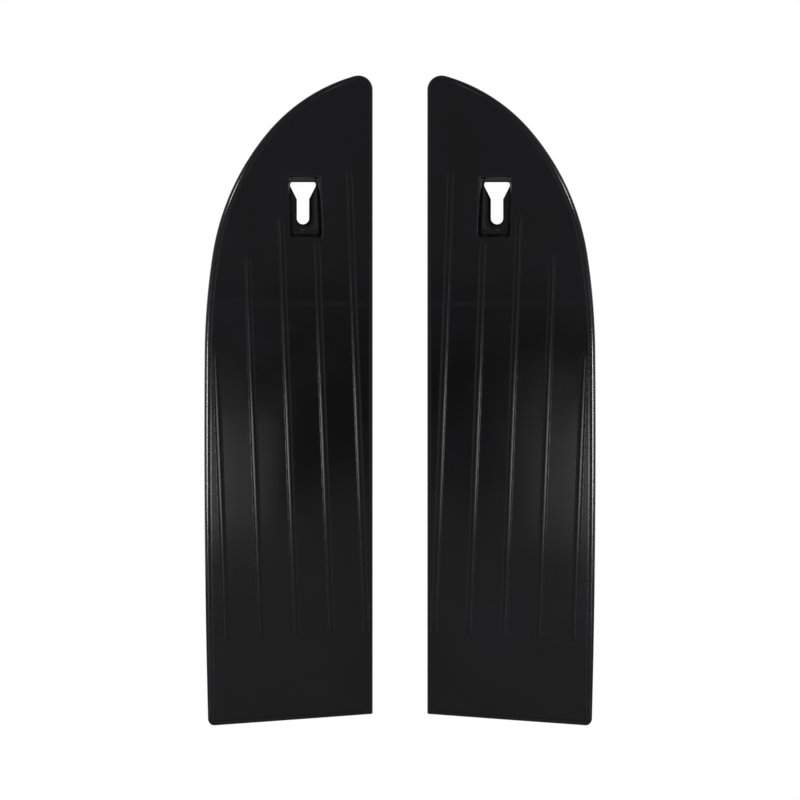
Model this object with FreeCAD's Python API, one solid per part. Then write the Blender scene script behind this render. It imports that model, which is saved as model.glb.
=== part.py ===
"""A mirrored pair of skate blade guards, each one injection moulding.

Each guard is a shallow shell, open at the back. Seen from above it is a long half leaf: one straight edge,
one bowed edge that closes on it in a blunt nose, and a foot cut a little off square. The face is low along
the straight edge and rises towards the bowed edge, more at the foot than at the nose, and it is slightly
crowned. Parallel beads stiffen the face. Near the nose a rectangular pocket drops almost to the rim plane,
and its floor has a keyhole that takes a headed stud. A cross web stiffens the hollow side.

Frame: millimetres, +Z up. The guards lie face up, side by side, with their rims on the plane Z = 0. +Y runs
from foot to nose, X = 0 is the mirror plane between the two, and the origin is the middle of the pair on
Z = 0.

The functions draw one guard in its own plan axes: u is the distance from the straight edge towards the bowed
edge, v the distance from the foot towards the nose, and z the height above the rim plane.
"""

import FreeCAD
import Part
import math
import os

# ---- driving dimensions, in millimetres and degrees ----
length = 300.0             # foot to the top of the nose
width = 77.7               # straight edge to the bowed edge at its shoulder
pair_gap = 25.2            # between the two straight edges
wall = 2.0                 # face, walls and pocket floor

edge_height = 5.0          # height of the face along the straight edge
foot_rise = 13.0           # how much higher the face is at full width, at the foot
nose_rise = 6.0            # the same at the nose
foot_crown = 1.8           # bulge of the face between its two long edges, at the foot
nose_crown = 1.0           # the same at the nose
side_draft = 3.0           # lean of the walls along the straight and bowed edges
foot_draft = 2.0           # lean of the foot wall
rim_round = 2.2            # radius where the face turns down into the walls

# bowed edge: heading in degrees off the straight edge's direction, and the radius of the arc that leads to it
foot_heading = -1.53       # it starts off leaning slightly outwards
shoulder_heading = 0.44    # at the top of the long gentle stretch
upper_radius = 320.6
upper_heading = 8.63
nose_radius = 115.5
nose_heading = 40.0
tip_heading = 80.2         # where the last arc would meet the straight edge
tip_round = 6.6            # the nose
foot_slant = 3.9           # the foot climbs towards the straight edge by this angle
foot_round = 2.6           # corner between the foot and the bowed edge

bead_lean = 2.15           # the beads lean towards the bowed edge by this angle
bead_width = 3.4           # where it meets the face
bead_height = 0.6
bead_first = 3.0           # middle of the first bead from the straight edge, at the beads' foot ends
bead_last = 10.7           # middle of the last bead back from the full width, at the beads' foot ends
bead_start = 38.4          # foot ends of the beads above the foot
bead_from_nose = (44.0, 76.8, 65.0, 84.0, 128.7)  # nose end of each bead, from the straight edge outwards

stud_shank = 5.0
stud_head = 11.1
stud_clearance = 0.35      # all round the stud's shank and head
key_length = 19.5          # keyhole, end to end
key_mouth = 1.8            # length of its wide part before it narrows
key_taper = 6.1            # length over which it narrows
key_u = 32.2               # its middle from the straight edge
key_from_nose = 49.4       # its wide end back from the tip of the nose
key_round = 1.0

floor_gap = 1.0            # underside of the pocket's floor above the rim plane
floor_outer = 0.2          # floor beside the keyhole's wide end, towards the bowed edge
floor_inner = 0.6          # the same towards the straight edge
floor_nose = 0.4           # floor past the keyhole's wide end
floor_foot = 4.6           # floor past the slot's end
pocket_lean = 2.5          # the pocket's sides lean towards the bowed edge by this angle
pocket_round = 1.2
pocket_taper_outer = 0.55  # how much further out the mouth is than the floor, towards the bowed edge
pocket_taper_inner = 1.8   # the same towards the straight edge
pocket_taper_nose = 1.9
pocket_taper_foot = 1.6

web_thickness = 1.5        # cross web behind the face
web_from_nose = 105.0
web_gap = 1.0              # the web stops this far above the rim plane

# ---- values worked out from them ----
slot_width = stud_shank + 2 * stud_clearance
mouth_width = stud_head + 2 * stud_clearance
bead_slope = math.tan(math.radians(bead_lean))
bead_pitch = (width - bead_first - bead_last) / (len(bead_from_nose) - 1)
foot_slope = math.tan(math.radians(foot_slant))
pocket_slope = math.tan(math.radians(pocket_lean))
key_top = length - key_from_nose
floor_top = floor_gap + wall
draw_height = edge_height + foot_rise + foot_crown + bead_height + 4.0
smallest_round = 0.4       # corners inside the shell that the wall's thickness would make sharp
overrun = 8.0              # how far the face is carried past the plan on every side


def vec(u, v, z):
    """A point in plan axes."""
    return FreeCAD.Vector(u, v, z)


def sin_of(angle):
    return math.sin(math.radians(angle))


def cos_of(angle):
    return math.cos(math.radians(angle))


def bowed_edge():
    """Arcs of the bowed edge from foot to nose, each (centre u, centre v, radius, heading in, heading out).

    A heading is also the angle at which the arc's point stands round its centre. The last radius follows from
    the width that is left for it, and the first from the length that is left below the shoulder.
    """
    upper_run = upper_radius * (cos_of(shoulder_heading) - cos_of(upper_heading))
    nose_run = nose_radius * (cos_of(upper_heading) - cos_of(nose_heading))
    tip_radius = (width - upper_run - nose_run) / (cos_of(nose_heading) - cos_of(tip_heading))
    headings = (shoulder_heading, upper_heading, nose_heading, tip_heading)
    arcs = []
    u, v = width, 0.0
    for radius, start, end in zip((upper_radius, nose_radius, tip_radius), headings[:-1], headings[1:]):
        centre_u = u - radius * cos_of(start)
        centre_v = v - radius * sin_of(start)
        arcs.append([centre_u, centre_v, radius, start, end])
        u = centre_u + radius * cos_of(end)
        v = centre_v + radius * sin_of(end)

    # the shoulder goes where it brings the rounded nose to the stated length
    last_u, last_v, last_radius = arcs[-1][:3]
    nose_top = last_v + math.sqrt((last_radius - tip_round) ** 2 - (tip_round - last_u) ** 2) + tip_round
    shoulder_v = length - nose_top
    for arc in arcs:
        arc[1] += shoulder_v
    long_radius = shoulder_v / (sin_of(shoulder_heading) - sin_of(foot_heading))
    arcs.insert(0, [width - long_radius * cos_of(shoulder_heading),
                    shoulder_v - long_radius * sin_of(shoulder_heading),
                    long_radius, foot_heading, shoulder_heading])
    return arcs


def arc_edge(centre_u, centre_v, radius, start, end, z):
    """An arc whose points stand at the angles start to end round its centre."""
    angles = (start, (start + end) / 2, end)
    return Part.Arc(*[vec(centre_u + radius * cos_of(a), centre_v + radius * sin_of(a), z)
                      for a in angles]).toShape()


def line_edge(start, end):
    return Part.LineSegment(start, end).toShape()


def outline(z, side_in, foot_in, corner, tip):
    """The guard's outline at height z, moved in by side_in along the long edges and by foot_in at the foot."""
    arcs = bowed_edge()
    long_u, long_v, long_radius = arcs[0][:3]
    last_u, last_v, last_radius = arcs[-1][:3]

    # rounded corner between the foot and the bowed edge
    corner_v = foot_in + corner
    corner_u = long_u + math.sqrt((long_radius - side_in - corner) ** 2 - (corner_v - long_v) ** 2)
    corner_end = math.degrees(math.atan2(corner_v - long_v, corner_u - long_u))
    foot_end = vec(corner_u - corner * sin_of(foot_slant), corner_v - corner * cos_of(foot_slant), z)
    foot_start = vec(side_in, foot_end.y + (foot_end.x - side_in) * foot_slope, z)

    # rounded nose between the last arc and the straight edge
    tip_u = side_in + tip
    tip_v = last_v + math.sqrt((last_radius - side_in - tip) ** 2 - (tip_u - last_u) ** 2)
    tip_start = math.degrees(math.atan2(tip_v - last_v, tip_u - last_u))

    edges = [line_edge(foot_start, foot_end),
             arc_edge(corner_u, corner_v, corner, -90.0 - foot_slant, corner_end, z)]
    starts = [corner_end] + [arc[3] for arc in arcs[1:]]
    ends = [arc[4] for arc in arcs[:-1]] + [tip_start]
    for arc, start, end in zip(arcs, starts, ends):
        edges.append(arc_edge(arc[0], arc[1], arc[2] - side_in, start, end, z))
    edges.append(arc_edge(tip_u, tip_v, tip, tip_start, 180.0, z))
    edges.append(line_edge(vec(side_in, tip_v, z), foot_start))
    return Part.Wire(edges)


def rounded_loop(corners, radii, z):
    """A closed wire through the corners, each rounded with its own radius; a radius of 0 leaves it sharp."""
    points = [vec(u, v, z) for u, v in corners]
    edges = []
    cuts = []
    for index, (corner, radius) in enumerate(zip(points, radii)):
        back = (points[index - 1] - corner).normalize()
        ahead = (points[(index + 1) % len(points)] - corner).normalize()
        half = back.getAngle(ahead) / 2
        reach = radius / math.tan(half)
        middle = (back + ahead).normalize()
        cuts.append((corner + back * reach,
                     corner + middle * (radius / math.sin(half) - radius),
                     corner + ahead * reach))
    for index, (start, middle, end) in enumerate(cuts):
        if radii[index] > 0:
            edges.append(Part.Arc(start, middle, end).toShape())
        following = cuts[(index + 1) % len(cuts)][0]
        if (following - end).Length > 1e-6:
            edges.append(line_edge(end, following))
    return Part.Wire(edges)


def drafted_body(inset, low):
    """The outline drawn up from height low with the walls' draft, moved in by inset on every side."""
    wires = []
    for z in (low, draw_height):
        wires.append(outline(z, inset + z * math.tan(math.radians(side_draft)),
                             inset + z * math.tan(math.radians(foot_draft)),
                             max(foot_round - inset, smallest_round), max(tip_round - inset, smallest_round)))
    return Part.makeLoft(wires, True, True)


def face_height(u, v):
    """Height of the face above the rim plane, without beads."""
    along = v / length
    across = u / width
    rise = foot_rise + (nose_rise - foot_rise) * along
    crown = foot_crown + (nose_crown - foot_crown) * along
    return edge_height + rise * across + crown * 4 * across * (1 - across)


def under_face(raised, base):
    """Everything between height base and the face surface, which is raised by the given amount.

    The face is ruled between two arcs, one past the foot and one past the nose.
    """
    wires = []
    left, right = -overrun, width + overrun
    for v in (-overrun, length + overrun):
        start, middle, end = [vec(u, v, face_height(u, v) + raised)
                              for u in (left, (left + right) / 2, right)]
        wires.append(Part.Wire([
            line_edge(vec(left, v, base), vec(right, v, base)),
            line_edge(vec(right, v, base), end),
            Part.Arc(end, middle, start).toShape(),
            line_edge(start, vec(left, v, base)),
        ]))
    return Part.makeLoft(wires, True, True)


def foot_v(u):
    """Where the foot is at u."""
    long_u, long_v, long_radius = bowed_edge()[0][:3]
    foot_width = long_u + math.sqrt(long_radius ** 2 - long_v ** 2)
    return (foot_width - u) * foot_slope


def bead(index):
    """One bead: a round bar with round ends, sunk into the face until only its top stands proud."""
    radius = (bead_height ** 2 + (bead_width / 2) ** 2) / (2 * bead_height)
    start_u = bead_first + bead_pitch * index
    start_v = foot_v(start_u) + bead_start
    ends = []
    for v in (start_v + bead_width / 2, length - bead_from_nose[index] - bead_width / 2):
        u = start_u + (v - start_v) * bead_slope
        ends.append(vec(u, v, face_height(u, v) + bead_height - radius))
    along = (ends[1] - ends[0]).normalize()
    down = along.cross(vec(0, 0, 1)).cross(along).normalize() * -radius
    ahead = along * radius
    corner = math.sqrt(0.5)
    profile = Part.Wire([
        Part.Arc(ends[0] - ahead, ends[0] + (down - ahead) * corner, ends[0] + down).toShape(),
        line_edge(ends[0] + down, ends[1] + down),
        Part.Arc(ends[1] + down, ends[1] + (down + ahead) * corner, ends[1] + ahead).toShape(),
        line_edge(ends[1] + ahead, ends[0] - ahead),
    ])
    return Part.Face(profile).revolve(ends[0], along, 360)


def pocket_block(low, high, grow):
    """The pocket's tapered hollow from height low to high, with every side moved out by grow."""
    depth = face_height(key_u, key_top - key_length / 2) - floor_top
    wires = []
    for z in (low, high):
        share = (z - floor_top) / depth
        outer = mouth_width / 2 + floor_outer + pocket_taper_outer * share + grow
        inner = mouth_width / 2 + floor_inner + pocket_taper_inner * share + grow
        nose = floor_nose + pocket_taper_nose * share + grow
        foot = key_length + floor_foot + pocket_taper_foot * share + grow
        corners = []
        for across, along in ((-inner, -foot), (outer, -foot), (outer, nose), (-inner, nose)):
            corners.append((key_u + across + along * pocket_slope, key_top + along))
        wires.append(rounded_loop(corners, [pocket_round + grow] * 4, z))
    return Part.makeLoft(wires, True, True)


def keyhole():
    """The cut for the stud: a wide mouth towards the nose that narrows to a round-ended slot."""
    mouth, slot = mouth_width / 2, slot_width / 2
    wide_end = key_top - key_mouth
    narrow_end = wide_end - key_taper
    key_end = key_top - key_length
    right_side = [(slot, key_end), (slot, narrow_end), (mouth, wide_end), (mouth, key_top)]
    corners = [(key_u + across, v) for across, v in right_side]
    corners += [(key_u - across, v) for across, v in reversed(right_side)]
    radii = [slot, 0, 0, key_round]
    loop = rounded_loop(corners, radii + radii[::-1], -1.0)
    return Part.Face(loop).extrude(vec(0, 0, floor_top + 2.0))


def cross_web():
    """The plate across the hollow side that braces the face."""
    middle = length - web_from_nose
    return Part.makeBox(width, web_thickness, draw_height, vec(0, middle - web_thickness / 2, web_gap))


def guard():
    """One guard in plan axes."""
    body = drafted_body(0.0, 0.0).common(under_face(0.0, 0.0))
    top = [edge for edge in body.Edges if edge.BoundBox.ZMin > edge_height / 2]
    body = body.makeFillet(rim_round, top)
    for index in range(len(bead_from_nose)):
        body = body.fuse(bead(index))

    hollow = drafted_body(wall, -1.0).common(under_face(-wall, -0.5))
    hollow = hollow.cut(pocket_block(floor_gap, draw_height, wall)).cut(cross_web())
    body = body.cut(hollow)
    body = body.cut(pocket_block(floor_top, draw_height, 0.0))
    return body.cut(keyhole()).removeSplitter()


def in_pair(shape):
    """The guard moved to the right-hand place of the pair."""
    placed = shape.copy()
    placed.translate(FreeCAD.Vector(pair_gap / 2, -length / 2, 0))
    return placed


right_guard = in_pair(guard())
left_guard = right_guard.mirror(FreeCAD.Vector(0, 0, 0), FreeCAD.Vector(1, 0, 0))

os.makedirs("parts", exist_ok=True)
for name, shape in (("left_guard", left_guard), ("right_guard", right_guard)):
    shape.exportStep("parts/" + name + ".step")
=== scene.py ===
"""A mirrored pair of moulded skate blade guards, laid face up on a plain floor.

The file is laid out as an add-on: settings in property groups, one operator for the guards and one for the
stage, and a panel that lists them. Run as a script, it registers them and builds everything.

A guard is drawn in its own plan axes, in metres: u runs from the straight edge towards the bowed edge, v from
the foot towards the nose, and z up from the plane that the rim lies on. The guard on the right is drawn as it
is, and the one on the left is its mirror image.
"""

import math

import bmesh
import bpy
import numpy as np
from mathutils import Matrix, Vector
from mathutils.geometry import delaunay_2d_cdt


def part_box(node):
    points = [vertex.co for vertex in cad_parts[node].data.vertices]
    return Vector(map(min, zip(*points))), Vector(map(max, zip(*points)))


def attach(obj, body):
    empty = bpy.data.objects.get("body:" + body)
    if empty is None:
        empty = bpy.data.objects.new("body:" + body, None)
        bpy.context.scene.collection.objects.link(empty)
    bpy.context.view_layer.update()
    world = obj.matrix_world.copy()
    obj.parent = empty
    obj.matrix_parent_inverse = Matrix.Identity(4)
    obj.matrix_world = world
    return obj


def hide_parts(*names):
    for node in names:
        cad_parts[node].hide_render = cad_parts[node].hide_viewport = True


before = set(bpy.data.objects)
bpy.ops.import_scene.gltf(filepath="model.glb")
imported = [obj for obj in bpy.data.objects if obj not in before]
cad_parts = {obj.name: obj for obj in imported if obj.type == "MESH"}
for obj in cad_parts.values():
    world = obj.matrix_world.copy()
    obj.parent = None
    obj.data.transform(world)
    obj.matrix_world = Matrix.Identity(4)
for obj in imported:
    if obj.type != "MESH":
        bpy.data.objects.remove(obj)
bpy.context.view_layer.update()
GUARD_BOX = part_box("right_guard")

bl_info = {
    "name": "Skate blade guards",
    "version": (1, 0, 0),
    "blender": (4, 5, 0),
    "location": "View3D > Sidebar > Blade guards",
    "description": "Builds a mirrored pair of moulded blade guards and a plain studio around them",
    "category": "Object",
}

MM = 0.001

# the guard's place and length come from the CAD frame
STRAIGHT_EDGE = GUARD_BOX[0][0]            # X of the right guard's straight edge
FOOT = GUARD_BOX[0][1]                     # Y of the foot
LENGTH = GUARD_BOX[1][1] - GUARD_BOX[0][1]

# the bowed edge: headings off the straight edge's direction, and the radius of the arc that leads to each
FOOT_HEADING = math.radians(-1.53)
SHOULDER_HEADING = math.radians(0.44)
UPPER_HEADING = math.radians(8.63)
NOSE_HEADING = math.radians(40.0)
TIP_HEADING = math.radians(80.2)
UPPER_RADIUS = 320.6 * MM
NOSE_RADIUS = 115.5 * MM
WIDTH = 77.7 * MM                          # straight edge to the bowed edge at its shoulder
FOOT_SLANT = math.radians(3.9)

SIDE_DRAFT = math.radians(3.0)
FOOT_DRAFT = math.radians(2.0)
FOOT_ROUND = 2.6 * MM                      # corner between the foot and the bowed edge
HEEL_ROUND = 0.6 * MM                      # corner between the foot and the straight edge
TIP_ROUND = 6.6 * MM

BEAD_ENDS_FROM_NOSE = (44.0 * MM, 76.8 * MM, 65.0 * MM, 84.0 * MM, 128.7 * MM)
BEAD_SLOPE = math.tan(math.radians(2.15))
BEAD_START = 38.4 * MM
BEAD_FIRST = 3.0 * MM
BEAD_PITCH = 16.0 * MM

KEY_U = 32.2 * MM
KEY_TOP = LENGTH - 49.4 * MM
KEY_LENGTH = 19.5 * MM
KEY_MOUTH = 1.8 * MM
KEY_TAPER = 6.1 * MM
KEY_ROUND = 1.0 * MM
KEY_MOUTH_HALF = 5.9 * MM
KEY_SLOT_HALF = 2.85 * MM

# the pocket's floor round the keyhole, and how much further out its mouth is: foot, outer, nose, inner side
FLOOR_MARGIN = (4.6 * MM, 0.2 * MM, 0.4 * MM, 0.6 * MM)
POCKET_TAPER = (1.6 * MM, 0.55 * MM, 1.9 * MM, 1.8 * MM)
POCKET_SLOPE = math.tan(math.radians(2.5))
POCKET_ROUND = 1.2 * MM
FLOOR_GAP = 1.0 * MM

WEB_V = LENGTH - 105.0 * MM
WEB_HALF = 0.75 * MM
WEB_GAP = 1.0 * MM

RIM_BREAK = 0.2 * MM                       # the rim's sharp edges are broken by this much
INNER_ROUND = 0.4 * MM                     # where the hollow's walls meet the underside of the face
BEAD_FOOT_BLEND = 0.05 * MM                # softening where a bead meets the face
EDGE_STEPS = 11                            # rings over the rounded edge of the face
HEEL_POINTS = 5                            # points round the corner between the foot and the straight edge


# ---------------------------------------------------------------- settings

class GuardSettings(bpy.types.PropertyGroup):
    """Sizes of the moulding that a user would change."""

    wall: bpy.props.FloatProperty(
        name="Wall", description="Thickness of the face, the walls and the pocket's floor",
        default=2.0 * MM, min=0.5 * MM, unit="LENGTH", precision=4)
    edge_height: bpy.props.FloatProperty(
        name="Edge height", description="Height of the face along the straight edge",
        default=5.0 * MM, min=1 * MM, unit="LENGTH", precision=4)
    foot_rise: bpy.props.FloatProperty(
        name="Foot rise", description="How much higher the face is at full width, at the foot",
        default=13.0 * MM, min=0, unit="LENGTH", precision=4)
    nose_rise: bpy.props.FloatProperty(
        name="Nose rise", description="How much higher the face is at full width, at the nose",
        default=6.0 * MM, min=0, unit="LENGTH", precision=4)
    foot_crown: bpy.props.FloatProperty(
        name="Foot crown", description="Bulge of the face between its long edges, at the foot",
        default=1.8 * MM, min=0, unit="LENGTH", precision=4)
    nose_crown: bpy.props.FloatProperty(
        name="Nose crown", description="Bulge of the face between its long edges, at the nose",
        default=1.0 * MM, min=0, unit="LENGTH", precision=4)
    rim_round: bpy.props.FloatProperty(
        name="Edge rounding",
        description="Radius where the face turns down into the straight wall and the foot",
        default=2.4 * MM, min=0.2 * MM, unit="LENGTH", precision=4)
    bow_round: bpy.props.FloatProperty(
        name="Bowed edge rounding", description="Radius where the face turns down into the bowed wall",
        default=3.4 * MM, min=0.2 * MM, unit="LENGTH", precision=4)
    lip_round: bpy.props.FloatProperty(
        name="Lip rounding", description="Radius of the lip where the pocket leaves the face",
        default=0.9 * MM, min=0.1 * MM, unit="LENGTH", precision=4)
    floor_round: bpy.props.FloatProperty(
        name="Floor rounding", description="Radius in the angle between the pocket's floor and its sides",
        default=0.6 * MM, min=0.1 * MM, unit="LENGTH", precision=4)
    bead_width: bpy.props.FloatProperty(
        name="Bead width", description="Width of a bead where it meets the face",
        default=3.3 * MM, min=1 * MM, unit="LENGTH", precision=4)
    bead_height: bpy.props.FloatProperty(
        name="Bead height", description="Height of a bead above the face",
        default=0.55 * MM, min=0.2 * MM, unit="LENGTH", precision=4)
    sink_depth: bpy.props.FloatProperty(
        name="Sink depth", description="Depth of the sink mark over the cross web",
        default=0.09 * MM, min=0, unit="LENGTH", precision=5)


class PlasticSettings(bpy.types.PropertyGroup):
    """Colours and gloss of the plastic."""

    shade: bpy.props.StringProperty(
        name="Plastic", description="Colour of the plastic, as an sRGB hex value", default="#121214")
    haze: bpy.props.StringProperty(
        name="Haze", description="Colour where handling has dulled it, as an sRGB hex value",
        default="#1a1a1d")
    roughness: bpy.props.FloatProperty(
        name="Roughness", description="Roughness of the clean moulded surface", default=0.16, min=0, max=1)


class StageSettings(bpy.types.PropertyGroup):
    """The studio round the guards."""

    floor: bpy.props.StringProperty(
        name="Floor", description="Colour of the floor and sweep, as an sRGB hex value", default="#ffffff")
    room: bpy.props.FloatProperty(
        name="Room light", description="Brightness of the dim room that the face mirrors",
        default=0.22, min=0)
    # this glow also sets the two floor cards that paint a shadow into the walls' reflections
    flag: bpy.props.FloatProperty(
        name="Flag", description="Brightness of the dark cloth over the middle of the guards",
        default=0.07, min=0)
    light: bpy.props.FloatProperty(
        name="Softboxes", description="Brightness of all the softboxes together", default=1.0, min=0)
    camera_height: bpy.props.FloatProperty(
        name="Camera height", description="Height of the camera over the floor",
        default=2.5, min=0.5, unit="LENGTH")
    view_width: bpy.props.FloatProperty(
        name="View width", description="Width of floor that the camera sees",
        default=369.7 * MM, min=0.1, unit="LENGTH")


# ---------------------------------------------------------------- plan of the guard

def unit(angle):
    """Unit vectors at the given angles, one row each."""
    return np.stack([np.cos(angle), np.sin(angle)], axis=-1)


def arc_points(centre, radius, start, end, count):
    """Points along an arc and the directions from it to its centre, without the arc's last point."""
    angles = np.linspace(start, end, count, endpoint=False)
    return np.asarray(centre) + radius * unit(angles), -unit(angles)


def line_points(start, end, normal, count):
    """Points along a line and the normal at each, without the line's last point."""
    share = np.linspace(0.0, 1.0, count, endpoint=False)[:, None]
    return np.asarray(start) * (1 - share) + np.asarray(end) * share, np.tile(normal, (count, 1))


def bowed_arcs():
    """The arcs of the bowed edge, foot to nose: centre, radius, heading in, heading out."""
    headings = (SHOULDER_HEADING, UPPER_HEADING, NOSE_HEADING, TIP_HEADING)
    cosines = np.cos(headings)
    tip_radius = (WIDTH - UPPER_RADIUS * (cosines[0] - cosines[1]) - NOSE_RADIUS * (cosines[1] - cosines[2]))
    tip_radius /= cosines[2] - cosines[3]
    point = np.array([WIDTH, 0.0])
    arcs = []
    for radius, start, end in zip((UPPER_RADIUS, NOSE_RADIUS, tip_radius), headings[:-1], headings[1:]):
        centre = point - radius * unit(start)
        arcs.append([centre, radius, start, end])
        point = centre + radius * unit(end)

    # the shoulder goes where it brings the rounded nose to the full length
    centre, radius = arcs[-1][:2]
    nose_top = centre[1] + math.sqrt((radius - TIP_ROUND) ** 2 - (TIP_ROUND - centre[0]) ** 2) + TIP_ROUND
    shoulder = LENGTH - nose_top
    for arc in arcs:
        arc[0] = arc[0] + np.array([0.0, shoulder])
    long_radius = shoulder / (math.sin(SHOULDER_HEADING) - math.sin(FOOT_HEADING))
    long_centre = np.array([WIDTH, shoulder]) - long_radius * unit(SHOULDER_HEADING)
    return [[long_centre, long_radius, FOOT_HEADING, SHOULDER_HEADING]] + arcs


def outline(side_in, foot_in, corner, tip, heel):
    """The guard's outline moved in by side_in and foot_in, as points and inward normals.

    It always has the same points in the same order, so two outlines can be joined point by point. The last
    result marks the points of the sharp corner at the straight edge's foot end.
    """
    arcs = bowed_arcs()
    (long_u, long_v), long_radius = arcs[0][:2]
    (last_u, last_v), last_radius = arcs[-1][:2]
    foot_normal = np.array([math.sin(FOOT_SLANT), math.cos(FOOT_SLANT)])

    corner_v = foot_in + corner
    corner_u = long_u + math.sqrt((long_radius - side_in - corner) ** 2 - (corner_v - long_v) ** 2)
    corner_end = math.atan2(corner_v - long_v, corner_u - long_u)
    corner_centre = np.array([corner_u, corner_v])

    heel_u = side_in + heel
    heel_drop = corner - heel + (heel_u - corner_u) * foot_normal[0]
    heel_centre = np.array([heel_u, corner_v - heel_drop / foot_normal[1]])

    tip_u = side_in + tip
    tip_v = last_v + math.sqrt((last_radius - side_in - tip) ** 2 - (tip_u - last_u) ** 2)
    tip_start = math.atan2(tip_v - last_v, tip_u - last_u)

    right_angle = math.pi / 2
    parts = [
        line_points(heel_centre - heel * foot_normal, corner_centre - corner * foot_normal, foot_normal, 44),
        arc_points(corner_centre, corner, -right_angle - FOOT_SLANT, corner_end, 12),
    ]
    starts = [corner_end] + [arc[2] for arc in arcs[1:]]
    ends = [arc[3] for arc in arcs[:-1]] + [tip_start]
    for arc, start, end, count in zip(arcs, starts, ends, (180, 44, 50, 44)):
        parts.append(arc_points(arc[0], arc[1] - side_in, start, end, count))
    parts.append(arc_points((tip_u, tip_v), tip, tip_start, math.pi, 16))
    parts.append(line_points((side_in, tip_v), (side_in, heel_centre[1]), (1.0, 0.0), 170))
    parts.append(arc_points(heel_centre, heel, math.pi, 3 * right_angle - FOOT_SLANT, HEEL_POINTS))
    points = np.concatenate([part[0] for part in parts])
    normals = np.concatenate([part[1] for part in parts])
    is_heel = np.zeros(len(points), bool)
    is_heel[-HEEL_POINTS:] = True
    is_heel[0] = True
    return points, normals, is_heel


def rounded_loop(corners, radii, side_counts, corner_count):
    """A closed loop through the corners, each with its own rounding, as points and outward normals."""
    corners = [np.asarray(corner, float) for corner in corners]
    points = []
    for index, (corner, radius) in enumerate(zip(corners, radii)):
        back = corners[index - 1] - corner
        ahead = corners[(index + 1) % len(corners)] - corner
        back /= np.linalg.norm(back)
        ahead /= np.linalg.norm(ahead)
        if radius == 0:
            points.append([corner])
            continue
        half = math.acos(float(np.dot(back, ahead))) / 2
        middle = (back + ahead) / np.linalg.norm(back + ahead)
        centre = corner + middle * radius / math.sin(half)
        start = corner + back * radius / math.tan(half) - centre
        end = corner + ahead * radius / math.tan(half) - centre
        turn = math.atan2(start[0] * end[1] - start[1] * end[0], float(np.dot(start, end)))
        first = math.atan2(start[1], start[0])
        points.append(centre + radius * unit(np.linspace(first, first + turn, corner_count)))
    loop = []
    for index, corner_points in enumerate(points):
        loop.extend(corner_points)
        following = points[(index + 1) % len(points)][0]
        for step in range(1, side_counts[index]):
            share = step / side_counts[index]
            loop.append(corner_points[-1] * (1 - share) + following * share)
    loop = np.array(loop)
    along = np.roll(loop, -1, axis=0) - np.roll(loop, 1, axis=0)
    along /= np.linalg.norm(along, axis=1)[:, None]
    return loop, np.stack([along[:, 1], -along[:, 0]], axis=1)


def pocket_loop(height, grow, depth):
    """The pocket's sides at a height above its floor, moved out by grow."""
    share = height / depth
    margins = zip(FLOOR_MARGIN, POCKET_TAPER)
    foot, outer, nose, inner = (margin + taper * share + grow for margin, taper in margins)
    across = (-KEY_MOUTH_HALF - inner, KEY_MOUTH_HALF + outer)
    along = (-KEY_LENGTH - foot, nose)
    corners = []
    for side, end in ((0, 0), (1, 0), (1, 1), (0, 1)):
        corners.append((KEY_U + across[side] + along[end] * POCKET_SLOPE, KEY_TOP + along[end]))
    return rounded_loop(corners, [POCKET_ROUND + grow] * 4, (10, 22, 10, 22), 7)


def keyhole_loop():
    """The keyhole: a wide end towards the nose that narrows to a slot with a round end."""
    wide = KEY_TOP - KEY_MOUTH
    right_side = [(KEY_SLOT_HALF, KEY_TOP - KEY_LENGTH), (KEY_SLOT_HALF, wide - KEY_TAPER),
                  (KEY_MOUTH_HALF, wide), (KEY_MOUTH_HALF, KEY_TOP)]
    corners = [(KEY_U + across, v) for across, v in right_side]
    corners += [(KEY_U - across, v) for across, v in reversed(right_side)]
    radii = [KEY_SLOT_HALF - 1e-6, 0, 0, KEY_ROUND, KEY_ROUND, 0, 0, KEY_SLOT_HALF - 1e-6]
    return rounded_loop(corners, radii, (8, 6, 2, 8, 2, 6, 8, 1), 12)[0]


# ---------------------------------------------------------------- heights

def plain_face(guard, points):
    """Height of the face without beads or marks."""
    across = points[..., 0] / WIDTH
    along = points[..., 1] / LENGTH
    rise = guard.foot_rise + (guard.nose_rise - guard.foot_rise) * along
    crown = guard.foot_crown + (guard.nose_crown - guard.foot_crown) * along
    return guard.edge_height + rise * across + crown * 4 * across * (1 - across)


def foot_v(u):
    """Where the foot is at u."""
    centre, radius = bowed_arcs()[0][:2]
    foot_width = centre[0] + math.sqrt(radius ** 2 - centre[1] ** 2)
    return (foot_width - u) * math.tan(FOOT_SLANT)


def bead_lines(guard):
    """The middle line of each bead, between the centres of its round ends."""
    lines = []
    for index, from_nose in enumerate(BEAD_ENDS_FROM_NOSE):
        start_u = BEAD_FIRST + BEAD_PITCH * index
        start_v = foot_v(start_u) + BEAD_START
        line = []
        for v in (start_v + guard.bead_width / 2, LENGTH - from_nose - guard.bead_width / 2):
            line.append(np.array([start_u + (v - start_v) * BEAD_SLOPE, v]))
        lines.append(line)
    return lines


def smooth_top(first, second, blend):
    """The higher of two heights, with the corner between them softened over blend."""
    mix = np.clip(0.5 + (first - second) / (2 * blend), 0.0, 1.0)
    return second + (first - second) * mix + blend * mix * (1 - mix)


def nearest_line(points, lines):
    """How far each point is from the nearest of some straight lines, each a start and an end."""
    nearest = np.full(points.shape[:-1], np.inf)
    for start, end in lines:
        run = end - start
        share = np.clip(((points - start) @ run) / float(run @ run), 0.0, 1.0)
        nearest = np.minimum(nearest, np.linalg.norm(points - (start + share[..., None] * run), axis=-1))
    return nearest


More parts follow.
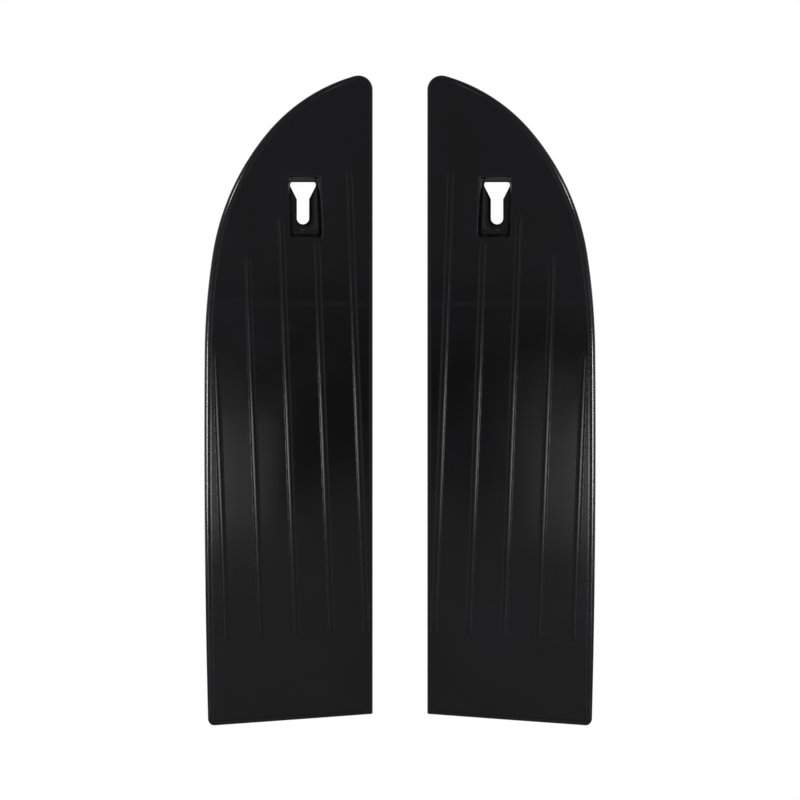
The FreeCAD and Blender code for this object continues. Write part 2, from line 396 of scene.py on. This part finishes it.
def bead_bump(guard, points):
    """Height that the beads add: a round ridge with round ends and a softened foot."""
    radius = (guard.bead_height ** 2 + (guard.bead_width / 2) ** 2) / (2 * guard.bead_height)
    reach = nearest_line(points, bead_lines(guard))
    ridge = np.sqrt(np.maximum(radius ** 2 - reach ** 2, 0.0)) - (radius - guard.bead_height)
    ridge -= np.maximum(reach - radius, 0.0) * 3
    return smooth_top(ridge, np.zeros_like(ridge), BEAD_FOOT_BLEND)


def surface_normals(surface, points):
    """Unit normals of a surface that is given as a height over the plan."""
    probe = 0.02 * MM
    along_u, along_v = np.array([probe, 0.0]), np.array([0.0, probe])
    slope_u = (surface(points + along_u) - surface(points - along_u)) / (2 * probe)
    slope_v = (surface(points + along_v) - surface(points - along_v)) / (2 * probe)
    normals = np.column_stack([-slope_u, -slope_v, np.ones(len(points))])
    return normals / np.linalg.norm(normals, axis=1)[:, None]


def sink_mark(guard, points):
    """Depth of the shallow one-sided furrow that the cross web leaves in the face."""
    behind = (points[..., 1] - WEB_V - points[..., 0] * math.tan(math.radians(0.8))) / (1 * MM)
    furrow = np.where(behind < 0, np.exp(-(behind / 1.1) ** 2), np.exp(-(behind / 7.0) ** 2))
    return guard.sink_depth * furrow


def ceiling_height(guard, points):
    return plain_face(guard, points) - guard.wall


# ---------------------------------------------------------------- mesh of the guard

class Shell:
    """Collects points and faces of one mesh."""

    def __init__(self):
        self.points = []
        self.normals = []
        self.faces = []
        self.count = 0

    def add(self, plan, heights, normals=0.0):
        """Adds points and returns their numbers. A normal of zero is left to the faces round the point."""
        points = np.column_stack([plan, np.broadcast_to(heights, len(plan))])
        self.points.append(points)
        self.normals.append(np.broadcast_to(normals, points.shape))
        self.count += len(points)
        return np.arange(self.count - len(points), self.count)

    def bridge(self, ring, following):
        """Joins two closed rings of the same length with quads."""
        for here in range(len(ring)):
            ahead = (here + 1) % len(ring)
            self.faces.append((ring[here], ring[ahead], following[ahead], following[here]))

    def patch(self, outer, hole, inside):
        """Fills the plan between a ring and a hole in it with triangles, through the points inside."""
        numbers = np.concatenate([outer, hole, inside]).astype(int)
        plan = np.concatenate(self.points)[numbers, :2]
        edges = []
        for start, size in ((0, len(outer)), (len(outer), len(hole))):
            edges += [(start + i, start + (i + 1) % size) for i in range(size)]
        scaled = [Vector(point) for point in plan / MM]
        result = delaunay_2d_cdt(scaled, edges, [], 0, 1e-6)
        places, triangles, origins = result[0], result[2], result[3]
        places = np.array([place[:] for place in places]) * MM
        rings = [plan[:len(outer)], plan[len(outer):len(outer) + len(hole)]]
        middles = np.array([places[list(triangle)].mean(axis=0) for triangle in triangles])
        kept = inside_ring(middles, rings[0]) & ~inside_ring(middles, rings[1])
        for triangle, keep in zip(triangles, kept):
            if keep:
                self.faces.append(tuple(int(numbers[origins[corner][0]]) for corner in triangle))


def inside_ring(points, ring):
    """Which points are inside a closed ring."""
    start, end = ring, np.roll(ring, -1, axis=0)
    inside = np.zeros(len(points), bool)
    for (u0, v0), (u1, v1) in zip(start, end):
        crosses = (v0 > points[:, 1]) != (v1 > points[:, 1])
        if v0 != v1:
            meets = u0 + (points[:, 1] - v0) * (u1 - u0) / (v1 - v0)
            inside ^= crosses & (points[:, 0] < meets)
    return inside


def ring_distance(points, ring):
    """How far each point is from the nearest side of a closed ring."""
    return nearest_line(points, zip(ring, np.roll(ring, -1, axis=0)))


def smooth_step(values, low, high):
    """Rises smoothly from 0 at low to 1 at high."""
    share = np.clip((values - low) / (high - low), 0.0, 1.0)
    return share * share * (3 - 2 * share)


def wall_rings(inset, surface, rounding, edge_break, corner, tip, steps):
    """Rings from the rim up a drafted wall and over a rounded edge onto a surface.

    The rounding is a pair: radius along the straight edge and the foot, and radius along the bowed edge. The
    result is a list of rings, each as plan points and heights, and the inward direction at each point.
    """
    base, normal, is_heel = outline(inset, inset, corner, tip, HEEL_ROUND)
    side_in, foot_in = inset + math.tan(SIDE_DRAFT) * MM, inset + math.tan(FOOT_DRAFT) * MM
    leaned = outline(side_in, foot_in, corner, tip, HEEL_ROUND)[0]
    lean = (leaned - base) / MM
    inward = normal.copy()
    inward[is_heel] = (1.0, (1 - math.sin(FOOT_SLANT)) / math.cos(FOOT_SLANT))
    bowed = smooth_step(-normal[:, 0], 0.2, 0.8) * smooth_step(base[:, 1], 3 * MM, 14 * MM)
    radius = rounding[0] + (rounding[1] - rounding[0]) * bowed

    # where the wall, carried straight up, would meet the surface
    height = surface(base)
    for _ in range(4):
        top = base + lean * height[:, None]
        height = surface(top)
    probe = 1.5 * MM
    climb = np.arctan((surface(top + inward * probe) - height) / probe)
    draft = np.arctan(np.einsum("ij,ij->i", lean, normal))

    # centre of the rounding, across and up from that meeting point
    slope, tilt = np.tan(climb), np.tan(draft)
    centre_in = radius * (1 / np.cos(draft) - tilt / np.cos(climb)) / (1 - slope * tilt)
    centre_up = slope * centre_in - radius / np.cos(climb)
    wall_drop = centre_up + radius * np.sin(draft)
    wall_in = centre_in - radius * np.cos(draft)
    wall_top = height + wall_drop

    def on_wall(z, shift):
        return base + lean * z[:, None] + inward * shift[:, None], z

    rings = [(base + inward * edge_break, np.zeros(len(base)))]
    none = np.zeros(len(base))
    rings.append(on_wall(none + abs(edge_break), none))
    rings.append(on_wall(wall_top * 0.5, none))
    rings.append(on_wall(wall_top - 0.3 * MM, none))
    for share in np.linspace(0.0, 1.0, steps):
        angle = (math.pi - draft) * (1 - share) + (math.pi / 2 + climb) * share
        reach_in = centre_in + radius * np.cos(angle) - wall_in
        reach_up = centre_up + radius * np.sin(angle)
        plan = base + lean * wall_top[:, None] + inward * reach_in[:, None]
        rings.append((plan, height + reach_up))
    return rings, inward


def sloped_loop(grow, depth):
    """The pocket's sides: a loop at its floor, the loop's shift for each metre of height, and its normals."""
    floor, normals = pocket_loop(0.0, grow, depth)
    raised = pocket_loop(MM, grow, depth)[0]
    return floor, (raised - floor) / MM, normals


def face_grid(guard, rim, inward, mouth):
    """Points over the face: columns that follow the beads and rings that follow its edge.

    They are closer together where the shape changes quickly.
    """
    across_bead = np.array([0.0, 0.3, 0.6, 0.9, 1.15, 1.35, 1.5, 1.65, 1.8, 2.0, 2.4, 3.0]) * MM
    across_bead = np.concatenate([-across_bead[:0:-1], across_bead])
    sink_rows = WEB_V + np.concatenate([np.arange(-3.0, 3.2, 0.5), np.arange(4.0, 16.0, 1.5)]) * MM
    rows = np.concatenate([np.arange(1.0, LENGTH / MM, 4.0) * MM, sink_rows])
    close = np.arange(-2.6, 2.7, 0.3) * MM
    lines = bead_lines(guard)
    points = []
    clear = []
    starts = []
    for start, end in lines:
        column = start[0] - start[1] * BEAD_SLOPE
        starts.append(column)
        # the first and last beads run beside an edge, so their rows are as close as its rings' points
        beside_edge = end is lines[0][1] or end is lines[-1][1]
        extra = np.arange(start[1] - 3 * MM, end[1] + 3 * MM, 1 * MM) if beside_edge else []
        for v in thinned(np.concatenate([rows, start[1] + close, end[1] + close, extra]), 0.25 * MM):
            for offset in across_bead:
                points.append((column + offset + v * BEAD_SLOPE, v))
                clear.append(0.25 * MM)
    edges = [starts[0] - 14 * MM] + starts + [starts[-1] + BEAD_PITCH]
    for low, high in zip(edges[:-1], edges[1:]):
        for offset in np.linspace(low, high, 8)[2:-2]:
            for v in thinned(rows, 0.25 * MM):
                points.append((offset + v * BEAD_SLOPE, v))
                clear.append(2.2 * MM)
    for reach in np.array([0.35, 0.7, 1.1, 1.6, 2.2, 3.0]) * MM:
        ring = rim + inward * reach
        ring = ring[nearest_line(ring, lines) > across_bead[-1] + 0.1 * MM]
        points.extend(ring)
        clear.extend([reach * 0.8] * len(ring))
    points = np.array(points)
    clear = np.array(clear)
    kept = inside_ring(points, rim) & ~inside_ring(points, mouth)
    kept &= (ring_distance(points, rim) > clear) & (ring_distance(points, mouth) > np.minimum(clear, 1 * MM))
    points = points[kept]
    cells = np.unique(np.round(points / (0.2 * MM)).astype(int), axis=0, return_index=True)[1]
    return points[np.sort(cells)]


def thinned(values, gap):
    """The values in order, without those closer than gap to the one before."""
    kept = []
    for value in np.sort(values):
        if not kept or value - kept[-1] >= gap:
            kept.append(value)
    return kept


def ceiling_grid(rim, boss):
    """Points over the hollow side of the face."""
    us, vs = np.meshgrid(np.arange(4.0, WIDTH / MM, 6.0) * MM, np.arange(4.0, LENGTH / MM, 6.0) * MM)
    points = np.column_stack([us.ravel(), vs.ravel()])
    kept = inside_ring(points, rim) & ~inside_ring(points, boss)
    kept &= (ring_distance(points, rim) > 2 * MM) & (ring_distance(points, boss) > 1.5 * MM)
    return points[kept]


def guard_shell(guard):
    """The whole moulding, in plan axes."""
    shell = Shell()
    wall = guard.wall

    def face(points):
        return plain_face(guard, points) - sink_mark(guard, points)

    def beaded(points):
        return face(points) + bead_bump(guard, points)

    def ceiling(points):
        return plain_face(guard, points) - wall

    # outside and inside walls, and the rim between them; a bead that runs into the rounded edge fades out
    rings, inward = wall_rings(0.0, face, (guard.rim_round, guard.bow_round), RIM_BREAK,
                               FOOT_ROUND, TIP_ROUND, EDGE_STEPS)
    outside = []
    for index, (plan, heights) in enumerate(rings):
        onto_face = max(0.0, (index + EDGE_STEPS - len(rings)) / (EDGE_STEPS - 1))
        normals = surface_normals(beaded, plan) if onto_face == 1.0 else 0.0
        heights = heights + bead_bump(guard, plan) * smooth_step(onto_face, 0.0, 1.0)
        outside.append(shell.add(plan, heights, normals))
    rings = wall_rings(wall, ceiling, (INNER_ROUND, INNER_ROUND), -RIM_BREAK,
                       FOOT_ROUND - wall, TIP_ROUND - wall, 4)[0]
    inside = [shell.add(*ring) for ring in rings]
    for rings in (outside, inside):
        for ring, following in zip(rings[:-1], rings[1:]):
            shell.bridge(ring, following)
    shell.bridge(outside[0], inside[0])

    # the pocket: lip, sides and floor
    floor_top = FLOOR_GAP + wall
    middle = np.array([[KEY_U, KEY_TOP - KEY_LENGTH / 2]])
    depth = float(plain_face(guard, middle)[0]) - floor_top
    loop, shift, normals = sloped_loop(0.0, depth)
    mouth = np.full(len(loop), depth)
    for _ in range(6):
        mouth = plain_face(guard, loop + shift * mouth[:, None]) - floor_top
    keyhole = keyhole_loop()
    lip = guard.lip_round
    pocket = []
    for angle in np.linspace(0.0, math.pi / 2, 8):
        out, drop = lip * (1 - math.sin(angle)), lip * (1 - math.cos(angle))
        plan = loop + shift * (mouth - drop)[:, None] + normals * out
        pocket.append(shell.add(plan, plain_face(guard, plan) - drop))
    angle_round = np.minimum(guard.floor_round, ring_distance(loop, keyhole) * 0.7)
    for angle in np.linspace(0.0, math.pi / 2, 6):
        up, out = angle_round * (1 - math.sin(angle)), angle_round * (1 - math.cos(angle))
        pocket.append(shell.add(loop + shift * up[:, None] - normals * out[:, None], floor_top + up))
    for ring, following in zip(pocket[:-1], pocket[1:]):
        shell.bridge(ring, following)

    # the keyhole through the floor
    key_top, key_under = shell.add(keyhole, floor_top), shell.add(keyhole, FLOOR_GAP)
    shell.bridge(key_top, key_under)
    shell.patch(pocket[-1], key_top, [])

    # the pocket's walls seen from the hollow side
    boss_loop, boss_shift, _ = sloped_loop(wall, depth)
    top = np.full(len(boss_loop), depth)
    for _ in range(6):
        top = ceiling(boss_loop + boss_shift * top[:, None]) - floor_top
    boss_top = shell.add(boss_loop + boss_shift * top[:, None], floor_top + top)
    boss_under = shell.add(boss_loop - boss_shift * wall, FLOOR_GAP)
    shell.bridge(boss_top, boss_under)
    shell.patch(boss_under, key_under, [])

    # the face and its hollow side
    placed = np.concatenate(shell.points)
    grid = face_grid(guard, placed[outside[-1], :2], inward, placed[pocket[0], :2])
    shell.patch(outside[-1], pocket[0], shell.add(grid, beaded(grid), surface_normals(beaded, grid)))
    grid = ceiling_grid(placed[inside[-1], :2], placed[boss_top, :2])
    shell.patch(inside[-1], boss_top, shell.add(grid, ceiling(grid)))
    add_web(shell, guard)
    return shell


def add_web(shell, guard):
    """The cross web: a drafted plate whose ends and top run into the walls and the face."""
    sections = []
    root, foot = WEB_HALF * 1.25, WEB_HALF
    far_wall = WIDTH - guard.wall * 1.4
    for u in np.linspace(guard.wall * 0.7, far_wall, 16):
        plan = np.array([(u, WEB_V - foot), (u, WEB_V + foot), (u, WEB_V + root), (u, WEB_V - root)])
        top = float(ceiling_height(guard, plan[:1])[0]) + 0.5 * MM
        top = max(top, WEB_GAP + 0.5 * MM)
        sections.append(shell.add(plan, np.array([WEB_GAP, WEB_GAP, top, top])))
    for section, following in zip(sections[:-1], sections[1:]):
        shell.bridge(section, following)
    shell.faces.append(tuple(sections[0]))
    shell.faces.append(tuple(reversed(sections[-1])))


def guard_mesh(shell, name, side):
    """The moulding as a mesh in its place in the pair: side is 1 on the right and -1 on the left."""
    points = np.concatenate(shell.points)
    placed = np.column_stack([side * (STRAIGHT_EDGE + points[:, 0]), FOOT + points[:, 1], points[:, 2]])
    mesh = bpy.data.meshes.new(name)
    mesh.from_pydata(placed.tolist(), [], [tuple(int(i) for i in face) for face in shell.faces])
    normals = np.concatenate(shell.normals) * (side, 1.0, 1.0)
    mesh.attributes.new("true_normal", "FLOAT_VECTOR", "POINT").data.foreach_set("vector", normals.ravel())
    work = bmesh.new()
    work.from_mesh(mesh)
    bmesh.ops.remove_doubles(work, verts=work.verts, dist=1e-7)
    bmesh.ops.recalc_face_normals(work, faces=work.faces)
    work.to_mesh(mesh)
    work.free()
    mesh.shade_smooth()
    mesh.set_sharp_from_angle(angle=math.radians(38))
    kept = mesh.attributes["true_normal"]
    normals = np.zeros(len(mesh.vertices) * 3, np.float32)
    kept.data.foreach_get("vector", normals)
    mesh.attributes.remove(kept)
    mesh.normals_split_custom_set_from_vertices(normals.reshape(-1, 3).tolist())
    return mesh


# ---------------------------------------------------------------- materials

def linear(hex_colour):
    """An sRGB hex colour as linear red, green, blue and alpha."""
    channels = []
    for start in (1, 3, 5):
        value = int(hex_colour[start:start + 2], 16) / 255
        channels.append(value / 12.92 if value <= 0.04045 else ((value + 0.055) / 1.055) ** 2.4)
    return (*channels, 1.0)


def add_node(tree, kind, settings, inputs):
    """Adds a node; an input is a value for its socket or another node's output to link to it."""
    node = tree.nodes.new(kind)
    for name, value in settings.items():
        setattr(node, name, value)
    for name, value in inputs.items():
        if isinstance(value, bpy.types.NodeSocket):
            tree.links.new(value, node.inputs[name])
        else:
            node.inputs[name].default_value = value
    return node


def moulded_polypropylene(plastic):
    """Black polypropylene, injection moulded in a polished tool.

    It is glossy and nearly black, with the faint ripple of a thin moulding and a soft haze from handling.
    """
    material = bpy.data.materials.new("moulded_black_polypropylene")
    material.use_nodes = True
    tree = material.node_tree
    tree.nodes.clear()
    place = add_node(tree, "ShaderNodeTexCoord", {}, {}).outputs["Object"]

    # haze comes in patches of about 40 mm, broken up by smudges of a few millimetres
    patches = add_node(tree, "ShaderNodeTexNoise", {},
                       {"Vector": place, "Scale": 1 / (40 * MM), "Detail": 4.0, "Roughness": 0.6})
    haze = add_node(tree, "ShaderNodeMapRange", {},
                    {"Value": patches.outputs["Fac"], "From Min": 0.42, "From Max": 0.68})
    colour = add_node(tree, "ShaderNodeMix", {"data_type": "RGBA"}, {0: haze.outputs["Result"]})
    colour.inputs[6].default_value = linear(plastic.shade)
    colour.inputs[7].default_value = linear(plastic.haze)
    roughness = add_node(tree, "ShaderNodeMapRange", {},
                         {"Value": haze.outputs["Result"], "To Min": plastic.roughness,
                          "To Max": plastic.roughness + 0.06})

    # ripple of 25 mm from uneven cooling, and orange peel of 1.2 mm from the tool
    ripple = add_node(tree, "ShaderNodeTexNoise", {},
                      {"Vector": place, "Scale": 1 / (25 * MM), "Detail": 1.0})
    ripple_bump = add_node(tree, "ShaderNodeBump", {},
                           {"Height": ripple.outputs["Fac"], "Strength": 0.25, "Distance": 0.25 * MM})
    peel = add_node(tree, "ShaderNodeTexNoise", {},
                    {"Vector": place, "Scale": 1 / (1.2 * MM), "Detail": 2.0})
    peel_bump = add_node(tree, "ShaderNodeBump", {},
                         {"Height": peel.outputs["Fac"], "Strength": 0.1, "Distance": 0.005 * MM,
                          "Normal": ripple_bump.outputs["Normal"]})

    shader = add_node(tree, "ShaderNodeBsdfPrincipled", {},
                      {"Base Color": colour.outputs[2], "Roughness": roughness.outputs["Result"],
                       "Normal": peel_bump.outputs["Normal"], "IOR": 1.49, "Metallic": 0.0})
    add_node(tree, "ShaderNodeOutputMaterial", {}, {"Surface": shader.outputs["BSDF"]})
    return material


def glowing(name, colour, strength):
    """A material that only gives off light."""
    material = bpy.data.materials.new(name)
    material.use_nodes = True
    tree = material.node_tree
    tree.nodes.clear()
    glow = add_node(tree, "ShaderNodeEmission", {}, {"Color": colour, "Strength": strength})
    add_node(tree, "ShaderNodeOutputMaterial", {}, {"Surface": glow.outputs["Emission"]})
    return material


# ---------------------------------------------------------------- operators

def new_object(name, data):
    """An object in the scene's own collection."""
    result = bpy.data.objects.new(name, data)
    bpy.context.scene.collection.objects.link(result)
    return result


class BLADEGUARD_OT_guards(bpy.types.Operator):
    """Build the left and right moulding on the CAD bodies"""

    bl_idname = "bladeguard.guards"
    bl_label = "Guards"

    def execute(self, context):
        shell = guard_shell(context.scene.blade_guard)
        plastic = moulded_polypropylene(context.scene.blade_plastic)
        for side, body in ((-1, "left"), (1, "right")):
            piece = new_object(body + "_moulding", guard_mesh(shell, body + "_moulding", side))
            piece.data.materials.append(plastic)
            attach(piece, body)
            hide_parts(body + "_guard")
        return {"FINISHED"}


def sweep_mesh(radius, rise, sides=64):
    """A round floor that turns up at its edge into a wide dome."""
    sections = [(radius * share, 0.0) for share in (0.25, 0.5, 0.75, 1.0)]
    for angle in np.linspace(0.0, math.pi / 2, 12)[1:]:
        sections.append((radius + rise * math.sin(angle) * 0.3, rise * (1 - math.cos(angle))))
    work = bmesh.new()
    rings = []
    for reach, height in sections:
        ring = []
        for turn in np.linspace(0.0, 2 * math.pi, sides, endpoint=False):
            ring.append(work.verts.new((reach * math.cos(turn), reach * math.sin(turn), height)))
        rings.append(ring)
    work.faces.new(rings[0])
    for ring, following in zip(rings[:-1], rings[1:]):
        for here in range(sides):
            ahead = (here + 1) % sides
            work.faces.new((ring[here], ring[ahead], following[ahead], following[here]))
    mesh = bpy.data.meshes.new("sweep")
    work.to_mesh(mesh)
    work.free()
    mesh.shade_smooth()
    return mesh


AIM_HEIGHT = 0.005             # the softboxes are aimed at points this far above the floor

# Cards seen only in reflections: name, extent in X, extent in Y, height over the floor. The flag is black
# cloth over the guards; the two cards named "shade" are a painted shadow on the floor beside the foot's
# walls.
CARDS = (
    ("flag", (-0.17, 0.17), (-0.042, 0.058), 0.35),
    # painted shadow: dark sheets on the floor beside the foot's outer walls, seen only in reflections
    ("shade", (-0.130, -0.086), (-0.17, -0.080), 0.0),
    ("shade", (0.086, 0.130), (-0.17, -0.080), 0.0),
)

# Each softbox is aimed at a point on its guard, from a direction given by its angle off the vertical,
# outwards, and its turn towards the nose: name, aim (X, Y), angle, turn, distance, size (across, along),
# radiance. "key", "key_edge", "rim_key" and "top" have to stay under the flag, which would hide them.
SOFTBOXES = (
    ("key", (0.080, -0.028), 10, 3, 0.33, (0.055, 0.060), 6.0),
    ("key_edge", (0.022, -0.028), 8, 3, 0.33, (0.040, 0.060), 1.2),
    ("low_key", (0.088, -0.020), 82, 2, 0.60, (0.120, 0.110), 26.0),
    ("rim_key", (0.092, -0.024), 20, 3, 0.34, (0.050, 0.050), 6.0),
    ("low_nose", (0.070, 0.100), 78, 27, 0.60, (0.100, 0.060), 26.0),
    ("fill", (0.050, 0.0), 20, 0, 0.80, (0.20, 0.90), 0.30),
    ("top", (0.075, -0.022), -9, 3, 0.34, (0.070, 0.056), 0.60),
    ("foot", (0.040, -0.110), -14, 0, 0.36, (0.22, 0.13), 0.07),
    ("inner", (0.020, 0.0), -66, 0, 0.70, (0.20, 0.90), 0.20),
    ("front", (0.045, 0.078), 38, 90, 0.50, (0.05, 0.03), 5.0),
    ("back", (0.045, -0.140), 55, -90, 0.60, (0.40, 0.20), 0.20),
)


def add_softbox(name, lit, side, aim, leaning, turn, distance, size, radiance):
    """A rectangular softbox that lights only the objects in a collection."""
    light = bpy.data.lights.new(name, "AREA")
    light.shape = "RECTANGLE"
    light.size, light.size_y = size[1], size[0]
    light.energy = radiance * math.pi * size[0] * size[1]
    softbox = new_object(name, light)
    leaning, turn = math.radians(leaning), math.radians(turn)
    target = Vector((side * aim[0], aim[1], AIM_HEIGHT))
    away = Vector((side * math.sin(leaning) * math.cos(turn), math.sin(leaning) * math.sin(turn),
                   math.cos(leaning)))
    softbox.location = target + away * distance
    along = Vector((0.0, 1.0, 0.0))
    along = (along - away * along.dot(away)).normalized()
    across = away.cross(along)
    softbox.rotation_euler = Matrix((along, across, away)).transposed().to_euler()
    softbox.visible_camera = False
    softbox.light_linking.receiver_collection = lit


def rounded_card(across, along, height):
    """A thin flat card with round corners."""
    corners = [(across[0], along[0]), (across[1], along[0]), (across[1], along[1]), (across[0], along[1])]
    loop = rounded_loop(corners, [0.02] * 4, (1, 1, 1, 1), 8)[0]
    work = bmesh.new()
    work.faces.new([work.verts.new((u, v, height)) for u, v in loop])
    mesh = bpy.data.meshes.new("card")
    work.to_mesh(mesh)
    work.free()
    return mesh


class BLADEGUARD_OT_stage(bpy.types.Operator):
    """Build the floor, the lights and the camera"""

    bl_idname = "bladeguard.stage"
    bl_label = "Stage"

    def execute(self, context):
        stage = context.scene.blade_stage
        floor = new_object("sweep", sweep_mesh(6.0, 6.0))
        floor.location.z = -0.2 * MM
        # white paper, lit from all round so that it shows no shadow
        floor.data.materials.append(glowing("white_paper_sweep", linear(stage.floor), 1.0))
        floor.visible_glossy = False
        floor.visible_diffuse = False
        floor.visible_shadow = False

        world = bpy.data.worlds.new("dim_room")
        world.use_nodes = True
        world.node_tree.nodes.clear()
        room = add_node(world.node_tree, "ShaderNodeBackground", {},
                        {"Color": (0.98, 0.98, 1.02, 1.0), "Strength": stage.room})
        add_node(world.node_tree, "ShaderNodeOutputWorld", {}, {"Surface": room.outputs["Background"]})
        context.scene.world = world

        # a black flag keeps the room's light off the middle of the faces; the two cards on the floor are a
        # painted shadow that darkens the reflections in the foot's outer walls. All of them glow faintly.
        flag_and_shadow_cards = glowing("black_flag_and_painted_floor_shadow", (1.0, 1.0, 1.0, 1.0), stage.flag)
        for name, across, along, height in CARDS:
            card = new_object(name, rounded_card(across, along, height))
            card.data.materials.append(flag_and_shadow_cards)
            card.visible_camera = card.visible_diffuse = card.visible_shadow = False

        for side, body in ((-1, "left"), (1, "right")):
            lit = bpy.data.collections.new(body + "_lit")
            lit.objects.link(bpy.data.objects[body + "_moulding"])
            for name, aim, leaning, turn, distance, size, radiance in SOFTBOXES:
                add_softbox(body + "_" + name, lit, side, aim, leaning, turn, distance, size,
                            radiance * stage.light)

        context.scene.view_settings.view_transform = "Standard"
        lens = bpy.data.cameras.new("camera")
        lens.lens = lens.sensor_width * stage.camera_height / stage.view_width
        lens.clip_end = 50.0
        camera = new_object("camera", lens)
        camera.location = (0.0, 0.0, stage.camera_height)
        context.scene.camera = camera
        return {"FINISHED"}


class BLADEGUARD_PT_panel(bpy.types.Panel):
    """Lists the settings and operators"""

    bl_idname = "BLADEGUARD_PT_panel"
    bl_label = "Blade guards"
    bl_space_type = "VIEW_3D"
    bl_region_type = "UI"
    bl_category = "Blade guards"

    def draw(self, context):
        scene = context.scene
        for title, settings in (("Moulding", scene.blade_guard), ("Plastic", scene.blade_plastic),
                                ("Studio", scene.blade_stage)):
            box = self.layout.box()
            box.label(text=title)
            for name in settings.bl_rna.properties.keys():
                if name not in ("rna_type", "name"):
                    box.prop(settings, name)
        self.layout.operator(BLADEGUARD_OT_guards.bl_idname)
        self.layout.operator(BLADEGUARD_OT_stage.bl_idname)


CLASSES = (GuardSettings, PlasticSettings, StageSettings, BLADEGUARD_OT_guards, BLADEGUARD_OT_stage,
           BLADEGUARD_PT_panel)


def register():
    for item in CLASSES:
        bpy.utils.register_class(item)
    bpy.types.Scene.blade_guard = bpy.props.PointerProperty(type=GuardSettings)
    bpy.types.Scene.blade_plastic = bpy.props.PointerProperty(type=PlasticSettings)
    bpy.types.Scene.blade_stage = bpy.props.PointerProperty(type=StageSettings)


def unregister():
    del bpy.types.Scene.blade_stage
    del bpy.types.Scene.blade_plastic
    del bpy.types.Scene.blade_guard
    for item in reversed(CLASSES):
        bpy.utils.unregister_class(item)


def main():
    register()
    bpy.ops.bladeguard.guards()
    bpy.ops.bladeguard.stage()


if __name__ == "__main__":
    main()
